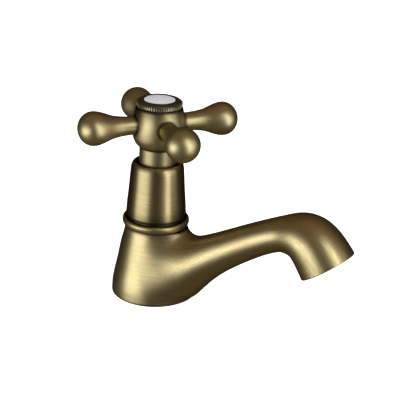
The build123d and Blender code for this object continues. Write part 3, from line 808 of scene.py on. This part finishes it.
bezel_outline = (
    [(6.4, 95.0), (8.5, 95.0), (8.5, 99.72), (10.7, 99.72), (11.05, 99.85), (11.3, 100.05)]
    + [(11.36, z) for z in (100.25, 100.5, 100.8, 101.1, 101.4, 101.65)]
    + flow([(11.33, 101.85), (11.15, 102.12), (10.7, 102.48), (10.1, 102.82), (9.4, 103.06), (8.7, 103.15), (8.15, 103.15)], 20)
    + [(7.95, 103.12), (7.83, 103.03), (7.77, 102.9), (7.75, 102.7), (7.75, 100.4), (6.4, 100.4)]
)
bezel = turned("bezel_knurled", bezel_outline, TEETH * 14, shape=knurled, sharp=50.0)
co = np.array([v.co for v in bezel.data.vertices]) / MM
rad = np.hypot(co[:, 0], co[:, 1])
wall = fade(-co[:, 2], -101.9, -101.1) * (rad > 10.5)
proud = wall * np.clip((rad - 10.76) / 0.56, 0, 1) + (1 - wall) * 0.5
mark(bezel, "proud", proud)
piece(bezel, "handle", "index_bezel", KNURL)

disc_outline = (
    [(0, 100.4), (7.5, 100.4), (7.68, 100.55), (7.68, 102.7)]
    + arc(7.43, 102.72, 0.25, 0, 78, 8)
    + [(r, 103.16 - 0.20 * (r / 7.4) ** 2) for r in np.linspace(7.4, 0.5, 22)]
    + [(0, 103.16)]
)
piece(turned("disc_glazed", disc_outline, 128, closed=False, sharp=50.0), "handle", "index_disc", GLAZE)

# ------------------------------------------------------------------ tail, backnut and deck seals below the foot
PITCH, THREAD_H, TAIL_R = 1.814, 1.10, 10.4775


def thread(z, ang):
    """Radius of the right-hand pipe thread."""
    u = (z / PITCH - ang / (2 * np.pi)) % 1.0
    s = np.clip((np.abs(2 * u - 1) - 0.15) / 0.70, 0, 1)
    s = 0.6 * s + 0.4 * s * s * (3 - 2 * s)
    return TAIL_R - THREAD_H * (1 - s)


def tail_shape(r, z, ang):
    if r < 8.5:
        return np.full(len(ang), r), np.full(len(ang), z)
    t = thread(z, ang)
    cap = TAIL_R
    if z < -54.0:
        cap = min(cap, 9.35 + (z + 55.0) * 1.15)
    if -41.6 < z < -38.4:
        cap = min(cap, 9.28 + max(0.0, abs(z + 40.0) - 1.0) * 2.0)
    if z > -1.5:
        return np.full(len(ang), min(TAIL_R, 9.35 + max(0.0, z + 1.5) * 0.8 if z < 0 else TAIL_R)), np.full(len(ang), z)
    return np.minimum(t, cap), np.full(len(ang), z)


rows = np.unique(np.round(np.concatenate([np.arange(-55.0, -1.4, PITCH / 11), [-41.6, -41.0, -39.0, -38.4, -1.5]]), 4))
tail_outline = [(6.5, 14.0), (6.5, -54.6), (6.9, -55.0)] + [(TAIL_R, z) for z in rows] + [(TAIL_R, -0.1), (TAIL_R, 13.2), (9.7, 14.0)]
tail_outline = tail_outline[:3] + [(9.0, -55.0)] + tail_outline[3:]


def tail_rings(r, z, ang):
    if abs(r - 9.0) < 1e-6 or abs(r - 9.7) < 1e-6:
        return np.full(len(ang), r), np.full(len(ang), z)
    return tail_shape(r, z, ang)


piece(turned("tail_threaded", tail_outline, 96, shape=tail_rings, sharp=60.0), "tap", "inlet_tail", BRASS)

HEX = 30.0


def nut_shape(r, z, ang):
    if r < 11.9:                          # threaded bore, a shade wider than the tail's thread
        t = thread(z, ang) + 0.10
        lead_in = max(0.0, 0.9 - min(z + 31.5, -22.5 - z))
        return np.maximum(t, TAIL_R + 0.12 - 1.1 + lead_in * 1.3), np.full(len(ang), z)
    if z > -24.55:                        # round flange
        return np.full(len(ang), r), np.full(len(ang), z)
    flat = (HEX / 2) / np.cos((ang + math.pi / 6) % (math.pi / 3) - math.pi / 6)
    return np.minimum(flat, r), np.full(len(ang), z)


nut_rows = list(np.arange(-31.5, -22.5 + 1e-6, PITCH / 11)) + [-22.5]
nut_outline = (
    [(11.5, z) for z in reversed(nut_rows)]
    + [(13.6, -31.5), (14.6, -31.46)]
    + [(14.9 + 2.2 * k, -31.4 + 1.35 * k) for k in np.linspace(0, 1.1, 7)]
    + [(17.4, z) for z in np.linspace(-29.5, -24.6, 6)]
    + [(17.1, -24.5), (17.45, -24.42), (17.6, -24.2), (17.6, -22.8), (17.48, -22.56), (17.2, -22.5)]
)
piece(turned("backnut_threaded", nut_outline, 144, shape=nut_shape, sharp=28.0), "backnut", "backnut", BRASS)

piece(
    turned("gasket_moulded", rounded([(13.2, 0.0), (13.2, 2.0), (19.0, 2.0), (19.0, 0.0)], 0.35), 120, sharp=50.0),
    "tap", "deck_gasket", RUBBER,
)
rubber_outline = rounded(
    [(10.8, -21.0), (10.8, -18.0), (13.2, -18.0), (13.7, -18.5), (14.7, -18.5), (15.2, -18.0), (17.0, -18.0), (17.5, -18.5), (18.4, -18.5), (18.8, -18.0), (20.0, -18.0), (20.0, -21.0)],
    [0.3, 0.3, 0.15, 0.15, 0.15, 0.15, 0.15, 0.15, 0.15, 0.15, 0.5, 0.4], 4,
)
piece(turned("clamp_rubber_moulded", rubber_outline, 120, sharp=60.0), "clamp_washers", "clamp_rubber", RUBBER)
washer_outline = rounded([(10.8, -22.5), (10.8, -21.0), (20.0, -21.0), (20.0, -22.5)], [0.2, 0.2, 0.4, 0.4], 5)
piece(turned("clamp_washer_pressed", washer_outline, 120, sharp=60.0), "clamp_washers", "clamp_washer", BRASS)

# ------------------------------------------------------------------ inner pieces carried over
for node, mat in {
    "valve_headwork": BRASS, "valve_spindle": BRASS, "handle_screw": STEEL, "spindle_clip": STEEL, "aerator_mesh": STEEL,
    "spindle_orings": RUBBER, "lip_seal": RUBBER, "aerator_seal": RUBBER, "thrust_washer": WHITE_ACETAL,
    "aerator_insert": WHITE_ACETAL, "aerator_housing": GREY_ACETAL, "moving_disc": ALUMINA, "fixed_disc": ALUMINA,
    "headwork_washer": FIBRE, "tail_washer": FIBRE,
}.items():
    put(NODES[node], mat)

# ------------------------------------------------------------------ camera
tilt, roll, away, right, rise = math.radians(22.03), math.radians(2.76), 625.65, -24.25, -46.10
turn = Matrix.Rotation(math.radians(30), 3, "Z")
look = turn @ Vector((0, math.cos(tilt), -math.sin(tilt)))
side0, up0 = turn @ Vector((1, 0, 0)), turn @ Vector((0, math.sin(tilt), math.cos(tilt)))
side = side0 * math.cos(roll) + up0 * math.sin(roll)
up = up0 * math.cos(roll) - side0 * math.sin(roll)
eye = (-look * away - side * right - up * rise) * MM
cam = bpy.data.objects.new("camera", bpy.data.cameras.new("camera"))
cam.data.sensor_width, cam.data.lens = 36.0, 108.0
cam.data.clip_start, cam.data.clip_end = 0.01, 50.0
cam.matrix_world = Matrix((
    (side.x, up.x, -look.x, eye.x), (side.y, up.y, -look.y, eye.y), (side.z, up.z, -look.z, eye.z), (0, 0, 0, 1),
))
bpy.context.scene.collection.objects.link(cam)
bpy.context.scene.camera = cam

# ------------------------------------------------------------------ pale deck, with the hole the tail goes through
n, hole, far = 96, 11.6, 4000.0
ang = 2 * np.pi * np.arange(n) / n
unit = np.stack([np.cos(ang), np.sin(ang), np.zeros(n)], 1)
deck = new_object("deck", np.concatenate([unit * hole, unit * 60, unit * far]) - [0, 0, 0.02],
                  [(r * n + i, r * n + (i + 1) % n, (r + 1) * n + (i + 1) % n, (r + 1) * n + i) for r in (0, 1) for i in range(n)])
m = Nodes("deck_white")
grain = m.noise(m.object_place((30.0, 30.0, 30.0)), 2.0, 0.5)
m.link(m.mix(m.spread(grain, 0.3, 0.7, 0.0, 1.0), (0.93, 0.93, 0.93), (0.95, 0.95, 0.95)), m.bsdf.inputs["Base Color"])
m.set(Roughness=0.9, Emission_Color=(1, 1, 1, 1), Emission_Strength=1.0)
m.bsdf.inputs["Specular IOR Level"].default_value = 0.0
put(deck, m.mat)
deck.visible_glossy = deck.visible_diffuse = deck.visible_shadow = False


# ------------------------------------------------------------------ softboxes left and right, an overhead fill, dim surroundings
def softbox(name, to_side, elevation, lean, distance, width, height, radiance, colour=(1, 1, 1), target=(0.03, 0, 0.05)):
    """An area light to the right (+) or left (-) of the camera as it looks, its top leaning left by lean, degrees."""
    a, e, r = math.radians(to_side), math.radians(elevation), math.radians(lean)
    toward = Vector((math.sin(a) * math.cos(e), -math.cos(a) * math.cos(e), math.sin(e)))
    across = Vector((math.cos(a), math.sin(a), 0))
    upward = toward.cross(across)
    x, y, z = (turn @ v for v in (across * math.cos(r) + upward * math.sin(r), upward * math.cos(r) - across * math.sin(r), toward))
    data = bpy.data.lights.new(name, "AREA")
    data.shape, data.size, data.size_y = "RECTANGLE", width, height
    data.energy = radiance * math.pi * width * height
    data.color = colour
    ob = bpy.data.objects.new(name, data)
    at = Vector(target) + z * distance
    ob.matrix_world = Matrix(((x.x, y.x, z.x, at.x), (x.y, y.y, z.y, at.y), (x.z, y.z, z.z, at.z), (0, 0, 0, 1)))
    bpy.context.scene.collection.objects.link(ob)
    return ob


COOL = (0.95, 1.0, 1.02)
softbox("softbox_left", -54.5, -1.5, 4, 0.90, 0.90, 0.34, 2.3, COOL)
softbox("softbox_left_low", -60, -16.7, 4, 0.90, 0.72, 0.15, 2.0, COOL)
softbox("halo_left", -58, -6, 8, 0.95, 0.95, 1.10, 0.42, COOL)
softbox("softbox_right", 46, 10, 14, 0.90, 0.38, 1.40, 2.9, COOL)
softbox("halo_right", 72, 8, 0, 0.90, 0.40, 0.60, 1.1, COOL)
softbox("fill_top", 10, 86, 0, 1.00, 0.9, 0.9, 3.2).visible_glossy = False

world = bpy.data.worlds.new("surroundings")
world.use_nodes = True
bpy.context.scene.world = world
wt = world.node_tree
wt.nodes.clear()
w_out = wt.nodes.new("ShaderNodeOutputWorld")
w_mix = wt.nodes.new("ShaderNodeMixShader")
w_dim, w_back, w_path = wt.nodes.new("ShaderNodeBackground"), wt.nodes.new("ShaderNodeBackground"), wt.nodes.new("ShaderNodeLightPath")
w_dim.inputs[0].default_value = (1.0, 0.72, 0.42, 1)
w_dir, w_split, w_rise = wt.nodes.new("ShaderNodeTexCoord"), wt.nodes.new("ShaderNodeSeparateXYZ"), wt.nodes.new("ShaderNodeFloatCurve")
ramp = w_rise.mapping.curves[0].points          # height from straight down (0) to straight up (1)
for k, (h, v) in enumerate(((0.0, 0.100), (0.30, 0.045), (0.46, 0.014), (0.55, 0.030), (1.0, 0.200))):
    if k in (0, 4):
        ramp[0 if k == 0 else -1].location = (h, v)
    else:
        ramp.new(h, v)
w_rise.mapping.update()
w_half = wt.nodes.new("ShaderNodeMath")
w_half.operation, w_half.inputs[1].default_value, w_half.inputs[2].default_value = "MULTIPLY_ADD", 0.5, 0.5
wt.links.new(w_dir.outputs["Generated"], w_split.inputs[0])
wt.links.new(w_split.outputs["Z"], w_half.inputs[0])
wt.links.new(w_half.outputs[0], w_rise.inputs["Value"])
w_dot, w_behind, w_shade = wt.nodes.new("ShaderNodeVectorMath"), wt.nodes.new("ShaderNodeMapRange"), wt.nodes.new("ShaderNodeMath")
w_dot.operation, w_shade.operation = "DOT_PRODUCT", "MULTIPLY"
w_dot.inputs[1].default_value = turn @ Vector((0, 1, 0))
for k, v in zip(("From Min", "From Max", "To Min", "To Max"), (0.2, 0.9, 1.0, 0.35)):
    w_behind.inputs[k].default_value = v
wt.links.new(w_dir.outputs["Generated"], w_dot.inputs[0])
wt.links.new(w_dot.outputs["Value"], w_behind.inputs["Value"])
wt.links.new(w_rise.outputs["Value"], w_shade.inputs[0])
wt.links.new(w_behind.outputs["Result"], w_shade.inputs[1])
w_far, w_over, w_glow, w_sum = (wt.nodes.new(k) for k in ("ShaderNodeMapRange", "ShaderNodeMapRange", "ShaderNodeMath", "ShaderNodeMath"))
w_far.interpolation_type = w_over.interpolation_type = "SMOOTHSTEP"      # a faint glow high behind the object
for node, values in ((w_far, (0.70, 0.95, 0.0, 0.07)), (w_over, (0.52, 0.60, 0.0, 1.0))):
    for k, v in zip(("From Min", "From Max", "To Min", "To Max"), values):
        node.inputs[k].default_value = v
w_glow.operation, w_sum.operation = "MULTIPLY", "ADD"
wt.links.new(w_dot.outputs["Value"], w_far.inputs["Value"])
wt.links.new(w_half.outputs[0], w_over.inputs["Value"])
wt.links.new(w_far.outputs["Result"], w_glow.inputs[0])
wt.links.new(w_over.outputs["Result"], w_glow.inputs[1])
wt.links.new(w_shade.outputs[0], w_sum.inputs[0])
wt.links.new(w_glow.outputs[0], w_sum.inputs[1])
wt.links.new(w_sum.outputs[0], w_dim.inputs[1])
w_back.inputs[0].default_value, w_back.inputs[1].default_value = (1, 1, 1, 1), 1.0
wt.links.new(w_path.outputs["Is Camera Ray"], w_mix.inputs[0])
wt.links.new(w_dim.outputs[0], w_mix.inputs[1])
wt.links.new(w_back.outputs[0], w_mix.inputs[2])
wt.links.new(w_mix.outputs[0], w_out.inputs[0])

bpy.context.scene.view_settings.view_transform = "Standard"
bpy.context.scene.view_settings.look = "None"
